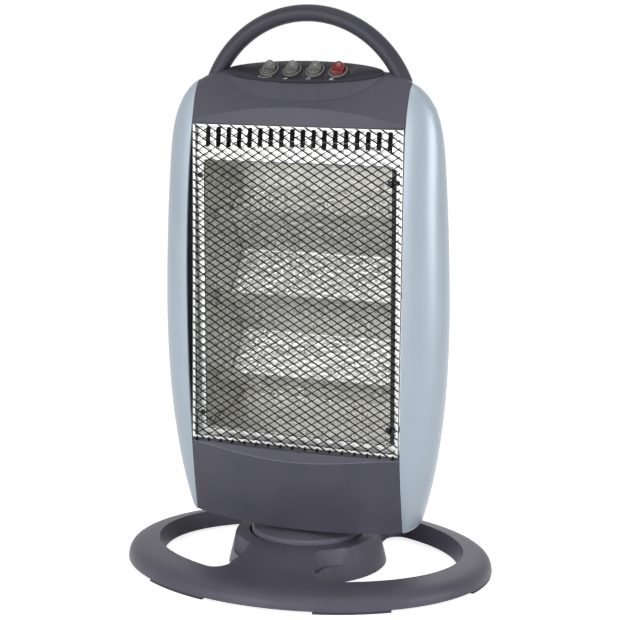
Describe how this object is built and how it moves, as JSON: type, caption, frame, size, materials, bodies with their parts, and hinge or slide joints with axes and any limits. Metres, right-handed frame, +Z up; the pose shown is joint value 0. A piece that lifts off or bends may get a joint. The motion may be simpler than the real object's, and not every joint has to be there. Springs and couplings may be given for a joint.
{
  "type": "halogen heater",
  "caption": "Upright oscillating halogen heater with wire guard, folded reflector, rocker switches, carrying handle and oval ring base.",
  "frame": {"origin": "under the swivel axis, which is the middle of the base ring, at floor level", "axes": "+X to the right seen from the front, +Y to the back, +Z up; the heater faces -Y"},
  "size_m": [0.402, 0.32, 0.593],
  "materials": {
    "dark_plastic": "fine satin texture",
    "silver_plastic": "satin silver-blue paint",
    "black_plastic": "matte",
    "panel_plastic": "satin",
    "steel": "zinc plated",
    "wire": "bright plated",
    "bright_sheet": "bright stucco-embossed",
    "white_plastic": "natural",
    "quartz": "clear",
    "filament_wire": "drawn",
    "ceramic": "glazed white",
    "switch_grey": "satin",
    "switch_red": "translucent red"
  },
  "bodies": {
    "base": {"base_ring": "dark_plastic", "foot_pads": "black_plastic", "bottom_plate": "steel", "bottom_screws": "steel", "bearing_ring": "white_plastic", "slot_plate": "white_plastic", "tip_switch": "black_plastic"},
    "heater_body": {"swivel_disc": "dark_plastic", "swivel_shaft": "steel", "shaft_nut": "steel", "chassis_plate": "steel", "chassis_screws": "steel", "swing_motor": "steel", "lower_panel": "dark_plastic", "top_cover": "dark_plastic", "left_shell": "silver_plastic", "right_shell": "silver_plastic", "rear_cover": "dark_plastic", "rear_louvres": "dark_plastic", "rear_screws": "steel", "left_frame": "steel", "right_frame": "steel", "guard_mesh": "wire", "guard_frame": "wire", "reflector": "bright_sheet", "left_end_plate": "bright_sheet", "right_end_plate": "bright_sheet", "front_plate": "bright_sheet", "plate_screws": "steel", "lamp_tube_1": "quartz", "lamp_tube_2": "quartz", "lamp_tube_3": "quartz", "filament_1": "filament_wire", "filament_2": "filament_wire", "filament_3": "filament_wire", "end_caps_1": "ceramic", "end_caps_2": "ceramic", "end_caps_3": "ceramic", "console": "dark_plastic", "control_panel": "panel_plastic", "switch_body_1": "switch_grey", "switch_body_2": "switch_grey", "switch_body_3": "switch_grey", "switch_body_4": "switch_grey", "handle": "dark_plastic", "handle_screws": "steel", "thermal_cutout": "black_plastic", "terminal_block": "white_plastic", "cord_gland": "black_plastic"},
    "tip_plunger": {"tip_plunger": "white_plastic"},
    "crank": {"crank_arm": "white_plastic"},
    "rocker_1": {"rocker_1": "switch_grey"},
    "rocker_2": {"rocker_2": "switch_grey"},
    "rocker_3": {"rocker_3": "switch_grey"},
    "rocker_4": {"rocker_4": "switch_red"}
  },
  "joints": [
    {"name": "swing", "type": "hinge", "parent": "base", "child": "heater_body", "pos_m": [0, 0, 0.024], "axis": [0, 0, 1], "range_deg": [-35, 35]},
    {"name": "crank_turn", "type": "hinge", "parent": "heater_body", "child": "crank", "pos_m": [0, 0.024, 0.04], "axis": [0, 0, 1], "range_deg": [-107, 107]},
    {"name": "tip_slide", "type": "slide", "parent": "base", "child": "tip_plunger", "axis": [0, 0, 1], "range_m": [-0.006, 0], "stiffness_N_per_m": 60, "springref_m": -0.008},
    {"name": "rocker_1_tilt", "type": "hinge", "parent": "heater_body", "child": "rocker_1", "pos_m": [-0.03795, -0.01194, 0.52666], "axis": [1, 0, 0], "range_deg": [-24, 0]},
    {"name": "rocker_2_tilt", "type": "hinge", "parent": "heater_body", "child": "rocker_2", "pos_m": [-0.01265, -0.01194, 0.52666], "axis": [1, 0, 0], "range_deg": [-24, 0]},
    {"name": "rocker_3_tilt", "type": "hinge", "parent": "heater_body", "child": "rocker_3", "pos_m": [0.01265, -0.01194, 0.52666], "axis": [1, 0, 0], "range_deg": [-24, 0]},
    {"name": "rocker_4_tilt", "type": "hinge", "parent": "heater_body", "child": "rocker_4", "pos_m": [0.03795, -0.01194, 0.52666], "axis": [1, 0, 0], "range_deg": [-24, 0]}
  ],
  "couplings": [
    {"joint": "crank_turn", "follows": "swing", "ratio": -3.03}
  ]
}
